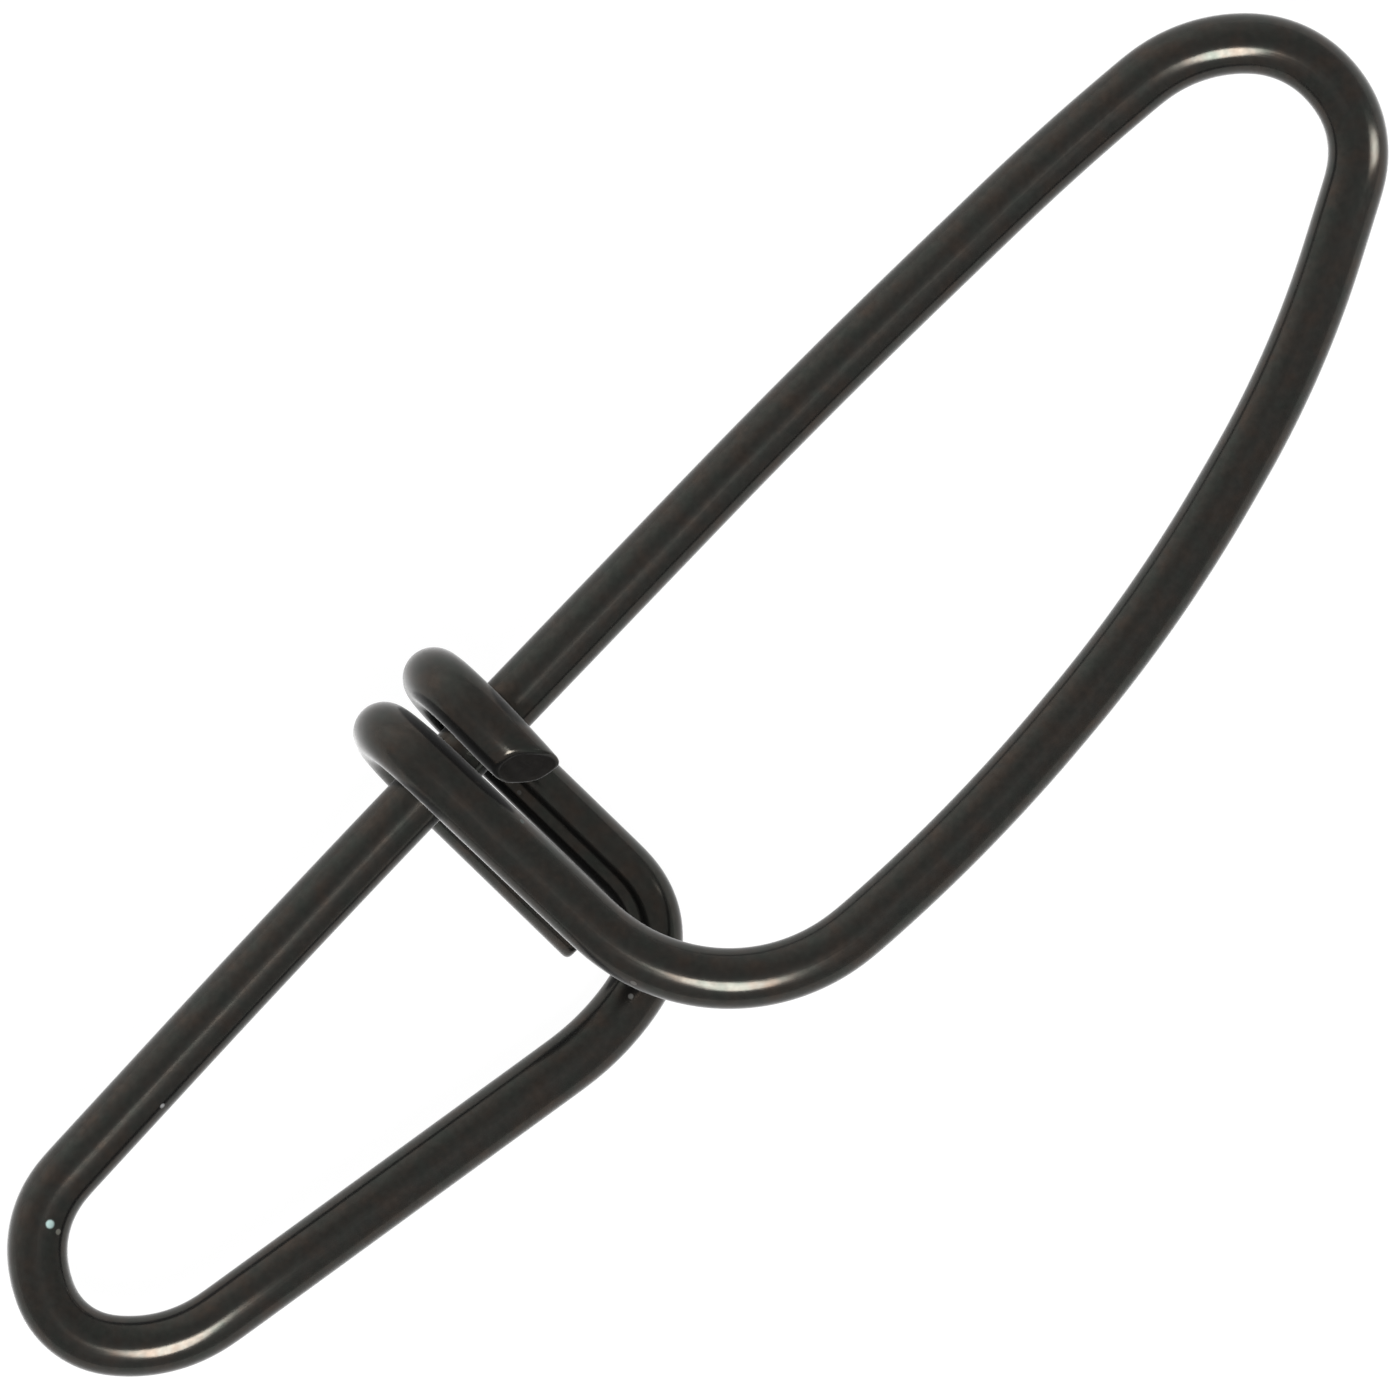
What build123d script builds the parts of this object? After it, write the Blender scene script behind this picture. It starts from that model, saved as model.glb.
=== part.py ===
from build123d import *
import math
import os

# Two-ended locking snap for fishing tackle, bent cold from one length of round spring wire.
# The bends are laid out with the spine along X, both loops below it at -Y and the front at +Z.
# The spine's middle, between the two hooks, is at the origin of that layout.

# Wire
wire_diameter = 1.0
square_end_bevel = 0.12

# Hooks: each leg crosses the spine on one side, turns round it and comes back on the other
hook_clearance = 0.12  # between the spine and the legs before and behind it
hook_side_clearance = 0.21  # between the two hooks, side by side on the spine
hook_lean = 0.2  # how far a hook's front stands from its back, along the spine
hook_tip_flat = 0.1  # straight stretch across the tip, between its two quarter turns
large_hook_tip_gap = 0.16  # over the spine, inside the tip
small_hook_tip_gap = 0.2

# Large loop: closed by the leg that crosses the spine in front
large_loop_length = 18.1  # from the spine's middle to the far corner
large_loop_width = 6.94  # from the spine down to the belly's lowest corner
foot_radius = 3.2  # bend between the front leg and the belly
foot_rise = 0.38  # the foot's corner stands this much above the belly's lowest one
front_leg_splay = 0.08  # how far the foot's corner stands from the hook, along the spine

# Small loop: closed by the leg that crosses the spine behind
small_loop_length = 11.4
small_loop_width = 4.95
heel_radius = 1.5  # bend between the rear leg and the straight side
heel_rise = 0.42
side_radius = 4.5  # gentle bend where the straight side runs into the heel

# Free ends
rear_tail_clearance = 0.83  # between the large hook's square end and the small loop's side
front_tail_length = 0.95  # from the spine down to the small hook's sheared end
front_tail_lean = 0.08
shear_width = 0.05  # how far the cut reaches past the wire all round
sheared_face = Vector(-0.40, -0.77, 0.49)  # the way that the sheared end looks

# An arc of a long bow takes this share of its shorter run on each side of its corner
bow_share = 0.48

wire_radius = wire_diameter / 2
leg_level = wire_diameter + hook_clearance
hook_radius = leg_level - hook_tip_flat / 2
hook_offset = (wire_diameter + hook_side_clearance) / 2
large_hook_tip = wire_diameter + large_hook_tip_gap
small_hook_tip = wire_diameter + small_hook_tip_gap


def on_large_loop(along, down, level=0):
    """A corner given as shares of the large loop's length and width, and of the leg level."""
    return Vector(large_loop_length * along, -large_loop_width * down, leg_level * level)


def on_small_loop(along, down, level=0):
    """The same for the small loop, which reaches the other way."""
    return Vector(-small_loop_length * along, -small_loop_width * down, leg_level * level)


def bow_radius(before, corner, after):
    """Radius of the arc that takes its share of the shorter of the two runs at a corner."""
    arriving = corner - before
    leaving = after - corner
    half_turn = math.radians(arriving.get_angle(leaving)) / 2
    return bow_share * min(arriving.length, leaving.length) / math.tan(half_turn)


# The large hook and its leg, from the square end behind the spine to the foot in front
rear_tail_end = -small_loop_width + wire_radius + rear_tail_clearance
large_hook = [
    (Vector(-hook_offset, large_hook_tip, -leg_level), hook_radius),
    (Vector(-hook_offset + hook_lean, large_hook_tip, leg_level), hook_radius),
]
foot = [
    (
        Vector(
            -hook_offset + hook_lean + front_leg_splay,
            -large_loop_width + foot_rise,
            leg_level,
        ),
        foot_radius,
    ),
]

# Round the large loop: the bowed belly sinks back to the spine's level by the far end
large_loop = [
    (on_large_loop(0.394, 1.0, 0.67), None),
    (on_large_loop(0.743, 0.831, 0.31), None),
    (on_large_loop(0.99, 0.523), None),
    (on_large_loop(1.0, 0.219), None),
    (on_large_loop(0.903, 0.043), None),
    (on_large_loop(0.438, -0.01), None),
]

# Along the spine and round the small loop, which drops behind the spine on its way back
small_loop = [
    (on_small_loop(0.893, 0.03), None),
    (on_small_loop(1.004, 0.359), None),
    (on_small_loop(0.903, 0.69), None),
    (on_small_loop(0.132, 1.0, -0.85), side_radius),
]
heel = [
    (Vector(hook_offset, -small_loop_width + heel_rise, -leg_level), heel_radius),
]

# The small hook, from the rear leg over the spine to the sheared end in front
small_hook = [
    (Vector(hook_offset, small_hook_tip, -leg_level), hook_radius),
    (Vector(hook_offset + hook_lean, small_hook_tip, leg_level), hook_radius),
]
front_tail_end = Vector(hook_offset + hook_lean - front_tail_lean, -front_tail_length, leg_level)

# The wire runs on past the sheared end by the length of the slant, and the shears take that off.
# They leave the edge sharp.
tail_direction = (front_tail_end - small_hook[-1][0]).normalized()
shear_angle = math.radians(tail_direction.get_angle(sheared_face))
offcut_length = (wire_radius + shear_width) * math.tan(shear_angle)

bends = large_hook + foot + large_loop + small_loop + heel + small_hook
corners = [Vector(-hook_offset, rear_tail_end, -leg_level)]
corners += [corner for corner, radius in bends]
corners += [front_tail_end + tail_direction * offcut_length]

radii = []
for index, (corner, radius) in enumerate(bends):
    before, after = corners[index], corners[index + 2]
    radii.append(radius or bow_radius(before, corner, after))

with BuildPart() as offcut:
    with BuildSketch(Plane(origin=front_tail_end, z_dir=tail_direction)):
        Circle(wire_radius + shear_width)
    extrude(amount=2 * offcut_length, both=True)
    split(bisect_by=Plane(origin=front_tail_end, z_dir=sheared_face), keep=Keep.TOP)

with BuildPart() as snap_wire:
    with BuildLine() as wire_line:
        FilletPolyline(*corners, radius=radii)
    with BuildSketch(Plane(origin=wire_line.line @ 0, z_dir=wire_line.line % 0)):
        Circle(wire_radius)
    sweep()
    add(offcut.part, mode=Mode.SUBTRACT)
    cut_faces = snap_wire.faces().filter_by(GeomType.PLANE).sort_by(Axis.Y)
    chamfer(cut_faces[0].edges(), square_end_bevel)

# The finished snap lies on its rear legs, with the middle of its outline over the origin
outline = snap_wire.part.bounding_box()
to_ground = Location((-outline.center().X, -outline.center().Y, -outline.min.Z))
snap_wire.part.locate(to_ground * snap_wire.part.location)
snap_wire.part.label = "snap_wire"

os.makedirs("parts", exist_ok=True)
export_step(snap_wire.part, "parts/snap_wire.step")

wire_length = sum(edge.length for edge in wire_line.edges()) - offcut_length
print("wire length", round(wire_length, 2), "mm")
print("volume", round(snap_wire.part.volume, 2), "of", round(math.pi * wire_radius**2 * wire_length, 2))
print("bend radii", [round(radius, 2) for radius in radii])
print("outline", outline.size)
print("moved by", to_ground.position)
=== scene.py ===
import math

import bpy
import numpy as np
from mathutils import Matrix, Vector


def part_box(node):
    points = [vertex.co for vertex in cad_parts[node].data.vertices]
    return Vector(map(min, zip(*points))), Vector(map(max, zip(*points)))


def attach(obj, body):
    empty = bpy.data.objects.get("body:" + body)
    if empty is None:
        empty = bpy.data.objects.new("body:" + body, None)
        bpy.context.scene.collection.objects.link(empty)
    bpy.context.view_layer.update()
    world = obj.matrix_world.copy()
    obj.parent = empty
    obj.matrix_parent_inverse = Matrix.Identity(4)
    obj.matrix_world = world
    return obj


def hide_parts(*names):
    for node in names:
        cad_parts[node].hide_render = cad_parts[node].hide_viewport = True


# A two-ended locking snap for fishing tackle, bent from one round wire and plated in black nickel.
# It lies on a white table, seen from straight above. Lengths are given in mm and built in metres.
mm = 0.001
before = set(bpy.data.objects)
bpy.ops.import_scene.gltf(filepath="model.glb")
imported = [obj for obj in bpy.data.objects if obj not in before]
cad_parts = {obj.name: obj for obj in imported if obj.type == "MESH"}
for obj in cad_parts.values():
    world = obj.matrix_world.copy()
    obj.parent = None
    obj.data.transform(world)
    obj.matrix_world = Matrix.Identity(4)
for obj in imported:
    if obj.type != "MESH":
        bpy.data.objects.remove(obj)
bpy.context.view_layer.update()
lowCorner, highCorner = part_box("snap_wire")


def linearFromHex(hexColour):
    # linear = (s / 12.92) below 0.04045, else ((s + 0.055) / 1.055) ^ 2.4
    parts = [int(hexColour[i:i + 2], 16) / 255 for i in (1, 3, 5)]
    return tuple(s / 12.92 if s <= 0.04045 else ((s + 0.055) / 1.055) ** 2.4 for s in parts) + (1.0,)


def addNode(tree, kind, settings=None, inputs=None, links=None):
    # settings are the node's own, inputs are values by socket, links are (other node's output, socket)
    node = tree.nodes.new(kind)
    for key, value in (settings or {}).items():
        setattr(node, key, value)
    for key, value in (inputs or {}).items():
        node.inputs[key].default_value = value
    for output, socket in (links or []):
        tree.links.new(output, node.inputs[socket])
    return node


# The wire's route, in the layout's own mm: the spine lies along x, both loops hang below it at -y,
# and the front is at +z. The spine's middle, between the two hooks, is at the layout's origin.
snapWire = {
    "diameter": 1.0,
    "legLevel": 1.12,  # the legs pass this far before and behind the spine
    "hookRadius": 1.07,
    "hookOffset": 0.605,  # each hook stands this far from the spine's middle
    "hookLean": 0.2,
    "largeHookTip": 1.16,
    "smallHookTip": 1.2,
    "largeLoop": (18.1, 6.9),  # length and width, to the corners of its route
    "smallLoop": (11.4, 4.95),
    # Corners of the bows, as shares of the loop's length, of its width and of the leg level
    "largeLoopCorners": [
        (0.275, 1.0, 0.68), (0.54, 0.95, 0.44), (0.789, 0.785, 0.22), (0.987, 0.523, 0.06),
        (1.0, 0.252, 0.04), (0.925, 0.063, 0.01), (0.774, 0.024, 0), (0.467, -0.004, 0),
    ],
    "smallLoopCorners": [
        (0.318, 0.005, 0), (0.908, 0.04, 0), (1.002, 0.393, 0), (0.895, 0.693, 0), (0.728, 0.76, 0),
    ],
    "sideCorner": (0.132, 1.0, -0.85),  # where the small loop's straight side runs into the heel
    "footRadius": 3.2,
    "footRise": 0.46,
    "legSplay": 0.08,
    "heelRadius": 1.5,
    "heelRise": 0.42,
    "sideRadius": 4.5,
    "rearTailEnd": -3.62,
    "frontTailEnd": -0.95,
    "frontTailLean": 0.08,
    "bowShare": 0.48,  # an arc of a bow takes this share of its shorter run
    "squareEndRounding": 0.13,
    "squareEndHollow": 0.01,
    "shearedEndRounding": 0.08,
    "shearedFace": (-0.40, -0.77, 0.49),  # the way it looks
    "slantLength": 0.9,  # the rings before it turn to its slant over this length
    "shearedDish": 0.04,
    "tornSteps": (0.012, 0.31),  # height and length of the steps that the shears tore
    "tornRipples": (0.006, 0.17),
    "raggedEdge": 0.03,  # how far the sheared edge strays from the cut
    "pinch": (0.04, 1.0),  # the shears narrow the end by this share, over this length
    "bendEasing": 0.16,  # a bend runs into its straight over about this length
    "ringSpacing": 0.075,
    "ringPoints": 48,
    "edgeRings": 7,  # round each cut face's edge
    "faceRings": 12,  # over the face, centre included
    "tornRamp": 3,  # plate turns to torn steel over this many rings, up to the sheared face's first
}


def layoutCorners(w):
    # corners of the route, each with its bend radius, None where the arc takes its share of the runs
    level = w["legLevel"]
    left = -w["hookOffset"]
    right = w["hookOffset"]
    lean = w["hookLean"]
    largeLength, largeWidth = w["largeLoop"]
    smallLength, smallWidth = w["smallLoop"]
    corners = [((left, w["rearTailEnd"], -level), None)]
    corners += [((left, w["largeHookTip"], -level), w["hookRadius"])]
    corners += [((left + lean, w["largeHookTip"], level), w["hookRadius"])]
    corners += [((left + lean + w["legSplay"], w["footRise"] - largeWidth, level), w["footRadius"])]
    corners += [((largeLength * a, -largeWidth * d, level * z), None)
                for a, d, z in w["largeLoopCorners"]]
    corners += [((-smallLength * a, -smallWidth * d, level * z), None)
                for a, d, z in w["smallLoopCorners"]]
    a, d, z = w["sideCorner"]
    corners += [((-smallLength * a, -smallWidth * d, level * z), w["sideRadius"])]
    corners += [((right, w["heelRise"] - smallWidth, -level), w["heelRadius"])]
    corners += [((right, w["smallHookTip"], -level), w["hookRadius"])]
    corners += [((right + lean, w["smallHookTip"], level), w["hookRadius"])]
    corners += [((right + lean - w["frontTailLean"], w["frontTailEnd"], level), None)]
    return corners


def roundedRoute(corners, share, arcPoints=40):
    # Straight runs joined by arcs: p = start + R * (sin t * forward + (1 - cos t) * inward)
    points = np.array([c for c, r in corners], float)
    route = [points[:1]]
    for i in range(1, len(points) - 1):
        arriving = points[i] - points[i - 1]
        leaving = points[i + 1] - points[i]
        runIn, runOut = np.linalg.norm(arriving), np.linalg.norm(leaving)
        forward, onward = arriving / runIn, leaving / runOut
        turn = math.acos(np.clip(forward @ onward, -1, 1))
        radius = corners[i][1] or share * min(runIn, runOut) / math.tan(turn / 2)
        inward = onward - forward * math.cos(turn)
        inward /= np.linalg.norm(inward)
        t = np.linspace(0, turn, arcPoints)[:, None]
        start = points[i] - forward * radius * math.tan(turn / 2)
        route.append(start + radius * (np.sin(t) * forward + (1 - np.cos(t)) * inward))
    route.append(points[-1:])
    return np.concatenate(route)


def evenRoute(route, spacing):
    # The same line with points at even distances along it
    along = np.r_[0, np.cumsum(np.linalg.norm(np.diff(route, axis=0), axis=1))]
    count = int(round(along[-1] / spacing)) + 1
    even = np.linspace(0, along[-1], count)
    return np.stack([np.interp(even, along, route[:, k]) for k in range(3)], axis=1)


def easedRoute(route, spacing, easing):
    # Each point becomes the Gaussian mean of its neighbours up to 3 easings away, each weighing
    # exp(-d^2 / 2 easing^2). Beyond its ends the line runs on straight.
    reach = int(3 * easing / spacing)
    offsets = np.arange(-reach, reach + 1)
    weights = np.exp(-0.5 * (offsets * spacing / easing) ** 2)
    weights /= weights.sum()
    before = route[0] + (route[0] - route[1]) * np.arange(reach, 0, -1)[:, None]
    after = route[-1] + (route[-1] - route[-2]) * np.arange(1, reach + 1)[:, None]
    padded = np.concatenate([before, route, after])
    return np.stack([np.convolve(padded[:, k], weights, "valid") for k in range(3)], axis=1)


def carriedFrames(route):
    # A side vector carried along the line, turned no more than the line turns, and its cross product
    tangents = np.gradient(route, axis=0)
    tangents /= np.linalg.norm(tangents, axis=1)[:, None]
    side = np.empty_like(route)
    side[0] = np.cross(tangents[0], (0, 0, 1.0))
    side[0] /= np.linalg.norm(side[0])
    for i in range(1, len(route)):
        carried = side[i - 1] - tangents[i] * (side[i - 1] @ tangents[i])
        side[i] = carried / np.linalg.norm(carried)
    return tangents, side, np.cross(tangents, side)


def cutFace(w, centre, tangent, offsets, normal, rounding, relief, ragged=0):
    # Rings over the cut: the section slid along the wire onto the cut's plane, p = c + k * (o + t * s),
    # with s = -(o . n) / (t . n). The edge is a quadratic curve between the side and the face.
    # A ragged edge strays from the cut by ragged * (0.7 sin(2a + 1) + 0.3 sin(5a)).
    normal = np.array(normal, float)
    normal /= np.linalg.norm(normal)
    slide = -(offsets @ normal) / (tangent @ normal)
    a = np.linspace(0, 2 * math.pi, len(offsets), endpoint=False)
    slide = slide + ragged * (0.7 * np.sin(2 * a + 1) + 0.3 * np.sin(5 * a))
    rim = offsets + tangent * slide[:, None]
    radius = np.linalg.norm(offsets[0])
    sideStart = rim - tangent * rounding
    faceStart = rim * (1 - rounding / radius)
    q = np.linspace(0, 1, w["edgeRings"])[:, None, None]
    edge = (1 - q) ** 2 * sideStart + 2 * q * (1 - q) * rim + q ** 2 * faceStart
    k = np.linspace(1 - rounding / radius, 0, w["faceRings"] + 1)[1:-1]
    face = k[:, None, None] * rim
    face = face + relief(w, face, k[:, None])[:, :, None] * normal
    pole = relief(w, np.zeros((1, 1, 3)), np.zeros((1, 1)))[0, 0] * normal
    return centre + np.concatenate([edge, face]), centre + pole


def shearRelief(w, face, k):
    # A sheared face is dished by dish * (1 - k^2), and torn in steps, height * sin(2 pi x / length),
    # and in ripples, height * sin(2 pi y / length), that end at its edge
    stepHeight, stepLength = w["tornSteps"]
    rippleHeight, rippleLength = w["tornRipples"]
    steps = np.sin(2 * math.pi * face[:, :, 0] / stepLength)
    ripples = np.sin(2 * math.pi * face[:, :, 1] / rippleLength)
    torn = (stepHeight * steps + rippleHeight * ripples) * (1 - k ** 4)
    return -w["shearedDish"] * (1 - k ** 2) + torn


def squareRelief(w, face, k):
    # A sawn face is a little hollow: hollow * (1 - k^2)
    return -w["squareEndHollow"] * (1 - k ** 2) * np.ones(face.shape[:2])


def wireSurface(w):
    # p(s, a) = line(s) + r * (cos a * side(s) + sin a * up(s)), closed by the two cut faces
    spacing = w["ringSpacing"]
    radius = w["diameter"] / 2
    route = evenRoute(roundedRoute(layoutCorners(w), w["bowShare"]), spacing)
    route = easedRoute(route, spacing, w["bendEasing"])
    route = evenRoute(route, spacing)
    tangents, side, up = carriedFrames(route)
    a = np.linspace(0, 2 * math.pi, w["ringPoints"], endpoint=False)
    ringShape = radius * (np.cos(a)[:, None, None] * side + np.sin(a)[:, None, None] * up)
    offsets = ringShape.transpose(1, 0, 2)
    along = np.arange(len(route)) * spacing

    # The last rings narrow, and slide over to the slant of the sheared end
    normal = np.array(w["shearedFace"])
    normal = normal / np.linalg.norm(normal)
    slide = -(offsets[-1] @ normal) / (tangents[-1] @ normal)
    fade = np.clip(1 - (along[-1] - along) / w["slantLength"], 0, 1)
    fade = fade * fade * (3 - 2 * fade)
    pinchShare, pinchLength = w["pinch"]
    width = 1 - pinchShare * np.clip(1 - (along[-1] - along) / pinchLength, 0, 1) ** 2
    rings = route[:, None, :] + offsets * width[:, None, None]
    rings = rings + tangents[:, None, :] * (slide[None, :] * fade[:, None])[:, :, None]

    startRings, startPole = cutFace(
        w, route[0], -tangents[0], offsets[0], -tangents[0], w["squareEndRounding"], squareRelief)
    endRings, endPole = cutFace(
        w, route[-1], tangents[-1], offsets[-1] * (1 - pinchShare), w["shearedFace"],
        w["shearedEndRounding"], shearRelief, w["raggedEdge"])
    # The faces' edges take the place of the body's first and last rings
    bodyStart = int(math.ceil(w["squareEndRounding"] / spacing)) + 1
    bodyEnd = len(rings) - int(math.ceil(w["shearedEndRounding"] / spacing)) - 1
    grid = np.concatenate([startRings[::-1], rings[bodyStart:bodyEnd], endRings])

    def overGrid(values):
        # A value of the route at each ring of the grid: a face's rings have that of their end
        first = np.repeat(values[:1], len(startRings), 0)
        last = np.repeat(values[-1:], len(endRings), 0)
        return np.concatenate([first, values[bodyStart:bodyEnd], last])

    # Where each point lay before the wire was bent: (along, across, across)
    aways = grid - overGrid(route)[:, None, :]
    unbent = np.stack([
        np.broadcast_to(overGrid(along)[:, None], grid.shape[:2]),
        np.einsum("rpk,rk->rp", aways, overGrid(side)),
        np.einsum("rpk,rk->rp", aways, overGrid(up))], axis=2)
    points = np.concatenate([grid.reshape(-1, 3), [startPole], [endPole]])
    flat = np.concatenate([unbent.reshape(-1, 3), [[0.0, 0, 0]], [[along[-1], 0, 0]]])

    # The sheared face is torn steel, which runs into the plate round its edge
    torn = np.zeros(grid.shape[:2])
    tornRings = len(endRings) - w["edgeRings"] + w["tornRamp"] - 1
    torn[-tornRings:] = np.clip(np.arange(1, tornRings + 1) / w["tornRamp"], 0, 1)[:, None]
    torn = np.r_[torn.ravel(), 0, 1]
    return points, flat, torn, len(grid), along[-1]


def makeWire(w):
    points, flat, torn, ringCount, wireLength = wireSurface(w)
    n = w["ringPoints"]
    print("wire: length", round(wireLength, 2), "mm,", ringCount, "rings of", n)

    # Into the model's frame: its middle over the origin and its lowest point on the table
    low, high = points.min(0), points.max(0)
    cadMiddle = (np.array(lowCorner) + np.array(highCorner)) / 2 / mm
    shift = np.array([cadMiddle[0] - (low[0] + high[0]) / 2, cadMiddle[1] - (low[1] + high[1]) / 2,
                      lowCorner.z / mm - low[2]])
    print("wire: size", np.round(high - low, 3), "shift", np.round(shift, 4))

    index = np.arange(ringCount * n).reshape(ringCount, n)
    nextPoint = np.roll(index, -1, axis=1)
    quads = np.stack([index[:-1], nextPoint[:-1], nextPoint[1:], index[1:]], axis=2).reshape(-1, 4)
    startPole = np.full(n, ringCount * n)
    endPole = np.full(n, ringCount * n + 1)
    startFan = np.stack([nextPoint[0], index[0], startPole], axis=1)
    endFan = np.stack([index[-1], nextPoint[-1], endPole], axis=1)
    loops = np.concatenate([quads.ravel(), startFan.ravel(), endFan.ravel()])
    sizes = np.r_[np.full(len(quads), 4), np.full(2 * n, 3)]
    starts = np.r_[0, np.cumsum(sizes)[:-1]]

    mesh = bpy.data.meshes.new("bentSnapWire")
    mesh.vertices.add(len(points))
    mesh.vertices.foreach_set("co", ((points + shift) * mm).astype(np.float32).ravel())
    mesh.loops.add(len(loops))
    mesh.loops.foreach_set("vertex_index", loops.astype(np.int32))
    mesh.polygons.add(len(sizes))
    mesh.polygons.foreach_set("loop_start", starts.astype(np.int32))
    mesh.polygons.foreach_set("use_smooth", np.ones(len(sizes), bool))
    mesh.update(calc_edges=True)
    mesh.validate()
    unbent = mesh.attributes.new("unbentWire", "FLOAT_VECTOR", "POINT")
    unbent.data.foreach_set("vector", (flat * mm).astype(np.float32).ravel())
    mesh.attributes.new("shearedFace", "FLOAT", "POINT").data.foreach_set("value", torn.astype(np.float32))
    # Faces with all their points more torn than plated take the second material
    mostlyTorn = np.minimum.reduceat(torn[loops], starts) > 0.5
    mesh.polygons.foreach_set("material_index", mostlyTorn.astype(np.int32))
    print("wire: torn faces", int(mostlyTorn.sum()), "of", len(sizes))
    wire = bpy.data.objects.new("bentSnapWire", mesh)
    bpy.context.scene.collection.objects.link(wire)
    return wire, shift, points


# Black nickel, electroplated over drawn spring wire and left bright: near black when looked at
# square on, pale at the rims, with soft blotches and the drawing die's faint lines along the wire.
# Sizes are in mm.
blackNickel = {
    "plate": "#363430",
    "warmPlate": "#3B342E",
    "coolPlate": "#323430",
    "rimTint": "#DADADA",
    "roughness": 0.17,
    "roughnessSwing": (-0.02, 0.03),  # by the drawing lines
    "haze": 0.13,  # a wide faint sheen over the plate
    "hazeRoughness": 0.55,
    "rimDust": 0.5,  # a thin film of dust and grease, which shows only at the rims
    "rimDustRoughness": 0.35,
    "mottleSize": 0.45,
    "mottleRamp": (0.32, 0.5, 0.68),  # the noise levels that are warm, plain and cool
    "grainSize": 0.12,
    "grain": 0.14,  # how much darker or lighter the grain makes the plate
    "noiseRange": (0.3, 0.7),  # what grain and lines use of their noise
    "drawLineWidth": 0.05,  # across the wire; real lines are finer and wouldn't show
    "drawLineLength": 3.0,
    "drawLineHeight": 0.0006,
    "tornPlate": "#2C2A28",
    "tornRoughness": 0.55,
}

# Specks of dust and wear, and two spots of painted reflection, on the front, by their place in the layout
# and their radius in mm
specks = {
    "paleDust": {"at": (-10.10, -0.54), "radius": 0.095, "colour": "#97ADAA"},
    "dustSmear": {"at": (-10.10, -0.72), "radius": 0.065, "colour": "#7B7A72"},
    "whiteDust": {"at": (-7.43, -0.53), "radius": 0.07, "colour": "#B4B4B4"},
    "tailWear": {"at": (0.33, -1.13), "radius": 0.05, "colour": "#63625F"},
    "legWear": {"at": (0.06, -1.50), "radius": 0.06, "colour": "#5E6462"},
    # Painted reflection: two lighter spots where leg A crosses over the small loop's side
    "crossingReflection": {"at": (-0.62, -4.66), "radius": 0.08, "colour": "#6A6864"},
    "crossingReflectionLow": {"at": (-0.80, -4.78), "radius": 0.06, "colour": "#585856"},
}


def frontPoint(points, place, reach=0.03):
    # A place in the layout, at the height of the highest of the mesh points nearest to it
    away = np.hypot(points[:, 0] - place[0], points[:, 1] - place[1])
    nearest = away < away.min() + reach
    return np.array([place[0], place[1], points[nearest, 2].max()])


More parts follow.
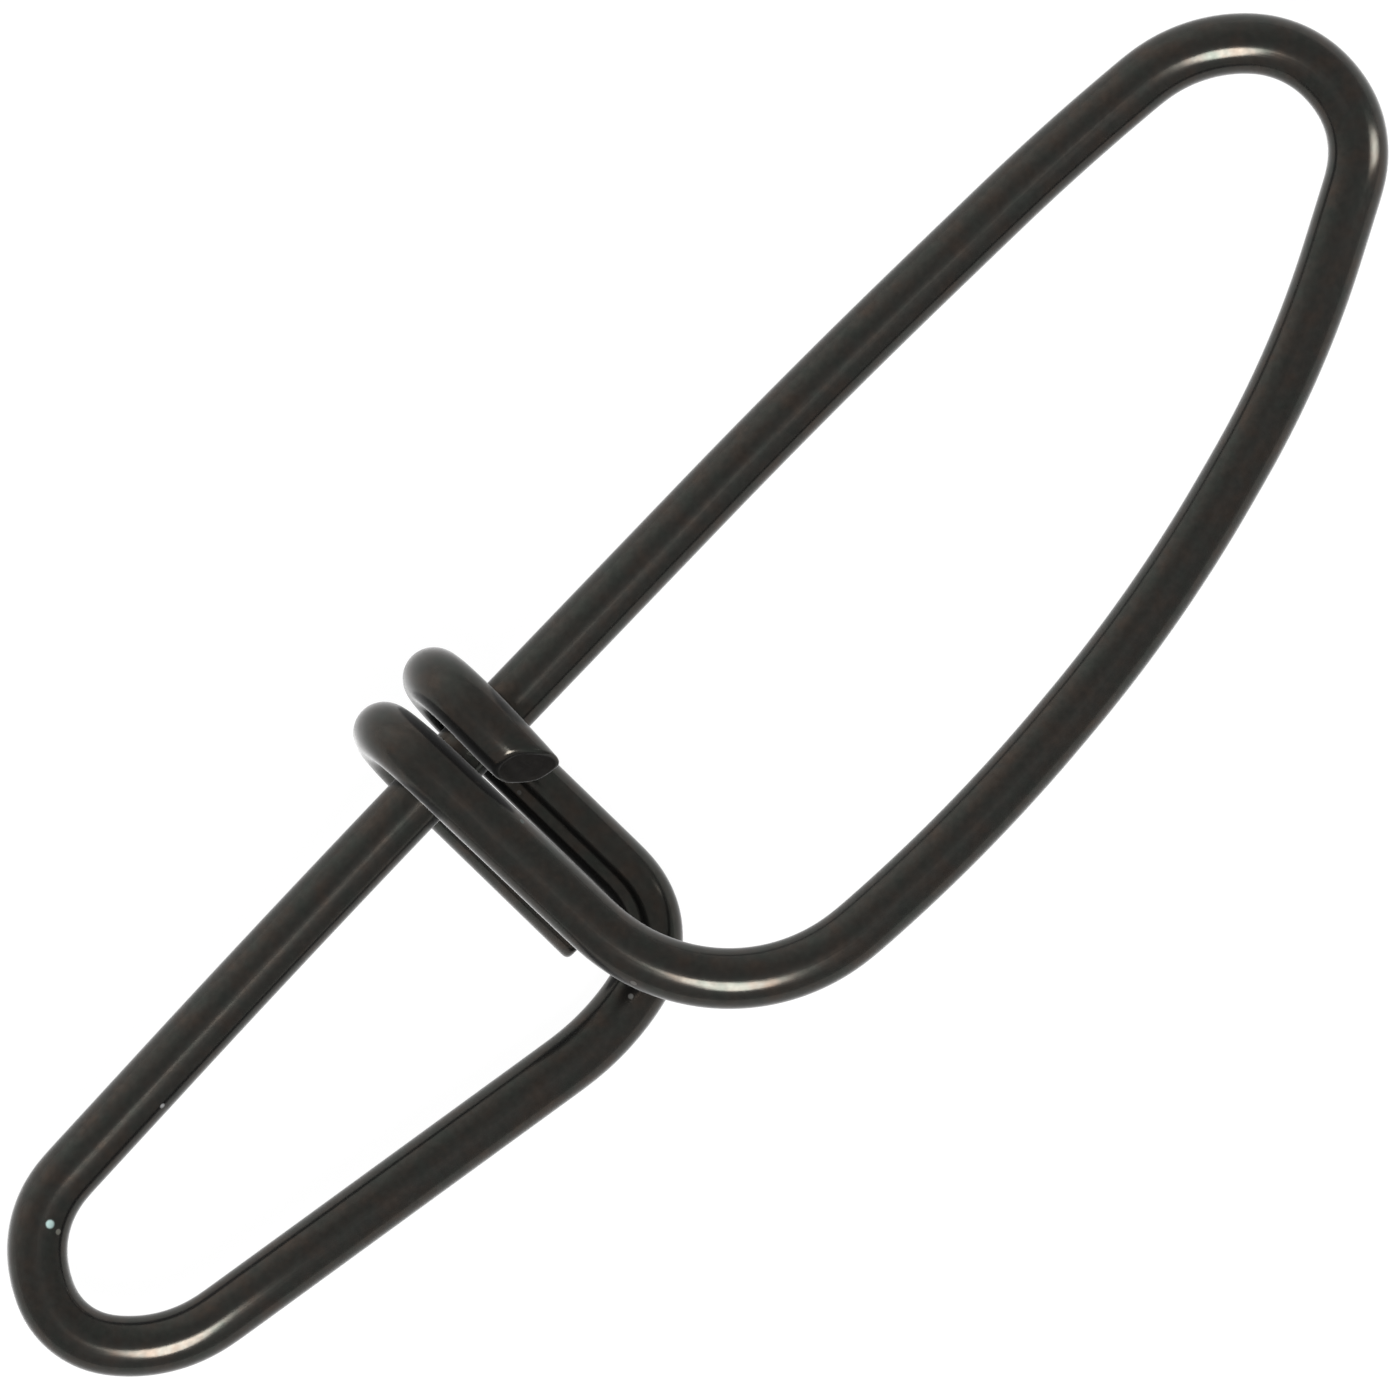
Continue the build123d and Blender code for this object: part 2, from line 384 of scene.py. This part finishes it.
def blackNickelPlate(values, marks, points, shift):
    material = bpy.data.materials.new("blackNickelPlatedDrawnWire")
    material.use_nodes = True
    tree = material.node_tree
    shader = tree.nodes["Principled BSDF"]
    unbent = addNode(tree, "ShaderNodeAttribute", {"attribute_name": "unbentWire"}).outputs["Vector"]
    torn = addNode(tree, "ShaderNodeAttribute", {"attribute_name": "shearedFace"}).outputs["Fac"]
    place = addNode(tree, "ShaderNodeTexCoord").outputs["Object"]
    noiseLow, noiseHigh = values["noiseRange"]

    # Mottle: noise(unbent / mottleSize) moves the plate's colour between a warm and a cool black
    mottle = addNode(tree, "ShaderNodeTexNoise", {"noise_dimensions": "3D"},
                     {"Scale": 1 / (values["mottleSize"] * mm), "Detail": 3.0, "Roughness": 0.55},
                     [(unbent, "Vector")])
    tint = addNode(tree, "ShaderNodeValToRGB", links=[(mottle.outputs["Fac"], "Fac")])
    warmLevel, plainLevel, coolLevel = values["mottleRamp"]
    warm, cool = tint.color_ramp.elements[:2]
    warm.position = warmLevel
    warm.color = linearFromHex(values["warmPlate"])
    cool.position = coolLevel
    cool.color = linearFromHex(values["coolPlate"])
    tint.color_ramp.elements.new(plainLevel).color = linearFromHex(values["plate"])

    # Grain: noise(unbent / grainSize) makes it a little darker or lighter, colour * (1 +- grain)
    grain = addNode(tree, "ShaderNodeTexNoise", {"noise_dimensions": "3D"},
                    {"Scale": 1 / (values["grainSize"] * mm), "Detail": 2.0, "Roughness": 0.5},
                    [(unbent, "Vector")])
    level = addNode(tree, "ShaderNodeMapRange", None,
                    {"From Min": noiseLow, "From Max": noiseHigh, "To Min": 1 - values["grain"],
                     "To Max": 1 + values["grain"]}, [(grain.outputs["Fac"], "Value")])
    plate = addNode(tree, "ShaderNodeVectorMath", {"operation": "SCALE"}, None,
                    [(tint.outputs["Color"], 0), (level.outputs["Result"], "Scale")]).outputs["Vector"]
    colour = addNode(tree, "ShaderNodeMix", {"data_type": "RGBA"},
                     {"B": linearFromHex(values["tornPlate"])},
                     [(torn, "Factor"), (plate, "A")]).outputs["Result"]

    # Drawing lines: noise(along / drawLineLength, across / drawLineWidth) lifts the surface a little
    # and changes its roughness
    lineScale = (1 / (values["drawLineLength"] * mm),) + (1 / (values["drawLineWidth"] * mm),) * 2
    stretched = addNode(tree, "ShaderNodeMapping", {"vector_type": "POINT"}, {"Scale": lineScale},
                        [(unbent, "Vector")])
    lines = addNode(tree, "ShaderNodeTexNoise", {"noise_dimensions": "3D"},
                    {"Scale": 1.0, "Detail": 2.0, "Roughness": 0.6},
                    [(stretched.outputs["Vector"], "Vector")])
    glossier, duller = values["roughnessSwing"]
    gloss = addNode(tree, "ShaderNodeMapRange", None,
                    {"From Min": noiseLow, "From Max": noiseHigh,
                     "To Min": values["roughness"] + glossier,
                     "To Max": values["roughness"] + duller}, [(lines.outputs["Fac"], "Value")])
    gloss = addNode(tree, "ShaderNodeMix", {"data_type": "FLOAT"}, {"B": values["tornRoughness"]},
                    [(torn, "Factor"), (gloss.outputs["Result"], "A")]).outputs["Result"]
    relief = addNode(tree, "ShaderNodeBump", None,
                     {"Strength": 1.0, "Distance": values["drawLineHeight"] * mm},
                     [(lines.outputs["Fac"], "Height")])
    tree.links.new(relief.outputs["Normal"], shader.inputs["Normal"])

    # A speck covers what lies within its radius of its place, and fades over the outer half
    for mark in marks.values():
        centre = (frontPoint(points, mark["at"]) + shift) * mm
        away = addNode(tree, "ShaderNodeVectorMath", {"operation": "DISTANCE"}, {1: tuple(centre)},
                       [(place, 0)])
        cover = addNode(tree, "ShaderNodeMapRange", {"interpolation_type": "SMOOTHSTEP"},
                        {"From Min": mark["radius"] * 0.5 * mm, "From Max": mark["radius"] * mm,
                         "To Min": 1.0, "To Max": 0.0}, [(away.outputs["Value"], "Value")])
        colour = addNode(tree, "ShaderNodeMix", {"data_type": "RGBA"}, {"B": linearFromHex(mark["colour"])},
                         [(cover.outputs["Result"], "Factor"), (colour, "A")]).outputs["Result"]
        gloss = addNode(tree, "ShaderNodeMix", {"data_type": "FLOAT"}, {"B": values["tornRoughness"]},
                        [(cover.outputs["Result"], "Factor"), (gloss, "A")]).outputs["Result"]
    tree.links.new(colour, shader.inputs["Base Color"])
    tree.links.new(gloss, shader.inputs["Roughness"])
    shader.inputs["Metallic"].default_value = 1.0
    shader.inputs["Specular Tint"].default_value = linearFromHex(values["rimTint"])
    shader.inputs["Coat Weight"].default_value = values["haze"]
    shader.inputs["Coat Roughness"].default_value = values["hazeRoughness"]
    shader.inputs["Sheen Weight"].default_value = values["rimDust"]
    shader.inputs["Sheen Roughness"].default_value = values["rimDustRoughness"]
    return material


def tornSpringSteel(plate):
    # Spring steel where the shears broke it, dark and dull. The plate's colour and gloss turn to
    # that by the shearedFace attribute, and the film of dust doesn't lie on it.
    material = plate.copy()
    material.name = "tornSpringSteel"
    material.node_tree.nodes["Principled BSDF"].inputs["Sheen Weight"].default_value = 0.0
    return material


wire, layoutShift, layoutPoints = makeWire(snapWire)
plated = blackNickelPlate(blackNickel, specks, layoutPoints, layoutShift)
wire.data.materials.append(plated)
wire.data.materials.append(tornSpringSteel(plated))
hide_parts("snap_wire")
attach(wire, "root")
print("finish: black nickel with", len(specks), "specks")

# The photograph looks straight down on the snap. The spine rises to the right across the picture.
view = {
    "spineRise": 45.9,  # degrees above the picture's level
    "aim": (3.491, -2.208),  # mm in the layout, the middle of the picture
    "pictureSide": 22.99,  # mm across the picture, at the height of the wire
    "distance": 400.0,  # mm
    "sensor": 36.0,  # mm
}
roll = math.radians(view["spineRise"])
pictureRight = Vector((math.cos(roll), -math.sin(roll), 0))
pictureUp = Vector((math.sin(roll), math.cos(roll), 0))
toViewer = Vector((0, 0, 1))


def fromLayout(place):
    # A place in the layout at half the snap's height, in the model's frame
    height = (lowCorner.z + highCorner.z) / 2
    return Vector(((place[0] + layoutShift[0]) * mm, (place[1] + layoutShift[1]) * mm, height))


def makeCamera(v):
    # lens = distance * sensor / width of the picture
    data = bpy.data.cameras.new("camera")
    camera = bpy.data.objects.new("camera", data)
    bpy.context.scene.collection.objects.link(camera)
    aim = fromLayout(v["aim"])
    camera.location = aim + toViewer * v["distance"] * mm
    camera.rotation_euler = (0, 0, -roll)
    data.sensor_width = v["sensor"]
    data.lens = v["distance"] * v["sensor"] / v["pictureSide"]
    data.clip_start = 0.01
    data.clip_end = 10.0
    bpy.context.scene.camera = camera
    return aim


aim = makeCamera(view)
print("camera: aimed at", [round(c / mm, 3) for c in aim])

# A white sweep. It shines a little of itself, so that the faint shadow stays near white.
table = {"side": 900.0, "white": "#F4F4F4", "ownLight": 1.07, "shade": 0.08}


def makeTable(values):
    # To the camera and to reflections it is its own light plus a little of what falls on it. To the
    # rest of the light it is plain white paper.
    half = values["side"] / 2 * mm
    corners = np.array([(-half, -half, 0), (half, -half, 0), (half, half, 0), (-half, half, 0)])
    mesh = bpy.data.meshes.new("table")
    mesh.from_pydata(corners.tolist(), [], [(0, 1, 2, 3)])
    plane = bpy.data.objects.new("table", mesh)
    bpy.context.scene.collection.objects.link(plane)
    material = bpy.data.materials.new("whitePaperSweep")
    material.use_nodes = True
    tree = material.node_tree
    tree.nodes.remove(tree.nodes["Principled BSDF"])
    output = tree.nodes["Material Output"]
    lit = linearFromHex(values["white"])
    dim = tuple(c * values["shade"] for c in lit[:3]) + (1.0,)
    plain = addNode(tree, "ShaderNodeBsdfDiffuse", None, {"Color": lit})
    shaded = addNode(tree, "ShaderNodeBsdfDiffuse", None, {"Color": dim})
    own = addNode(tree, "ShaderNodeEmission", None, {"Color": lit, "Strength": values["ownLight"]})
    seenWhite = addNode(tree, "ShaderNodeAddShader", None, None,
                        [(shaded.outputs[0], 0), (own.outputs[0], 1)])
    path = addNode(tree, "ShaderNodeLightPath")
    seen = addNode(tree, "ShaderNodeMath", {"operation": "MAXIMUM"}, None,
                   [(path.outputs["Is Camera Ray"], 0), (path.outputs["Is Glossy Ray"], 1)])
    seen = addNode(tree, "ShaderNodeMath", {"operation": "MAXIMUM"}, None,
                   [(seen.outputs[0], 0), (path.outputs["Is Transmission Ray"], 1)])
    mixed = addNode(tree, "ShaderNodeMixShader", None, None,
                    [(seen.outputs[0], 0), (plain.outputs[0], 1), (seenWhite.outputs[0], 2)])
    tree.links.new(mixed.outputs[0], output.inputs["Surface"])
    mesh.materials.append(material)


makeTable(table)
print("table:", table["side"], "mm square")

# The room: evenly dim, and brighter low down towards the picture's upper left
room = {"dim": 0.54, "rise": 0.8, "power": 2.5}


def makeRoom(values):
    # strength = dim + rise * max(0, direction . upper left) ^ power
    world = bpy.data.worlds.new("room")
    bpy.context.scene.world = world
    world.use_nodes = True
    tree = world.node_tree
    background = tree.nodes["Background"]
    towards = addNode(tree, "ShaderNodeTexCoord").outputs["Generated"]
    upperLeft = (pictureUp - pictureRight).normalized()
    lean = addNode(tree, "ShaderNodeVectorMath", {"operation": "DOT_PRODUCT"},
                   {1: tuple(upperLeft)}, [(towards, 0)])
    ahead = addNode(tree, "ShaderNodeMath", {"operation": "MAXIMUM"}, {1: 0.0},
                    [(lean.outputs["Value"], 0)])
    raised = addNode(tree, "ShaderNodeMath", {"operation": "POWER"}, {1: values["power"]},
                     [(ahead.outputs[0], 0)])
    glow = addNode(tree, "ShaderNodeMath", {"operation": "MULTIPLY_ADD"},
                   {1: values["rise"], 2: values["dim"]}, [(raised.outputs[0], 0)])
    path = addNode(tree, "ShaderNodeLightPath")
    strength = addNode(tree, "ShaderNodeMix", {"data_type": "FLOAT"}, {"B": 1.0},
                       [(path.outputs["Is Camera Ray"], "Factor"), (glow.outputs[0], "A")])
    tree.links.new(strength.outputs["Result"], background.inputs["Strength"])
    background.inputs["Color"].default_value = (1.0, 1.0, 1.0, 1.0)


makeRoom(room)
print("room: dim light of", room["dim"])

# An oval softbox, and a small snooted lamp beside the large loop's far bend. Each is given by the
# place in the layout that it is aimed at, its tilt from the line of sight, the way it stands in the
# picture, its width and height in degrees as that place sees it, how bright it is, how far off it
# stands in mm and how many degrees its beam spreads.
lights = {
    "keySoftbox": {"aim": view["aim"], "tilt": 32, "towards": (0.165, -0.986), "size": (16, 34),
                   "glow": 24, "distance": 400, "spread": 180},
    "bendLamp": {"aim": (17.7, -3.9), "tilt": 64, "towards": (1.0, 0.11), "size": (16, 54),
                 "glow": 18, "distance": 14, "spread": 48},
}


def makeLight(name, values):
    # An oval lamp's power is its radiance * pi * (pi / 4 * width * height), and for a beam of half
    # angle h that is times (tan h - h) / tan h
    tilt = math.radians(values["tilt"])
    across, upward = values["towards"]
    direction = toViewer * math.cos(tilt) + (pictureRight * across + pictureUp * upward) * math.sin(tilt)
    distance = values["distance"] * mm
    width, height = (2 * distance * math.tan(math.radians(s) / 2) for s in values["size"])
    data = bpy.data.lights.new(name, "AREA")
    data.shape = "ELLIPSE"
    data.size = width
    data.size_y = height
    data.spread = math.radians(values["spread"])
    half = data.spread / 2
    data.energy = values["glow"] * math.pi * (math.pi / 4 * width * height) * (1 - half / math.tan(half))
    lamp = bpy.data.objects.new(name, data)
    bpy.context.scene.collection.objects.link(lamp)
    side = direction.cross(toViewer).normalized()
    top = side.cross(direction).normalized()
    turn = Matrix((side, top, direction)).transposed()
    lamp.matrix_world = Matrix.Translation(fromLayout(values["aim"]) + direction * distance) @ turn.to_4x4()
    lamp.visible_camera = False


for name, values in lights.items():
    makeLight(name, values)
print("lights:", len(lights))

scene = bpy.context.scene
scene.view_settings.view_transform = "Standard"
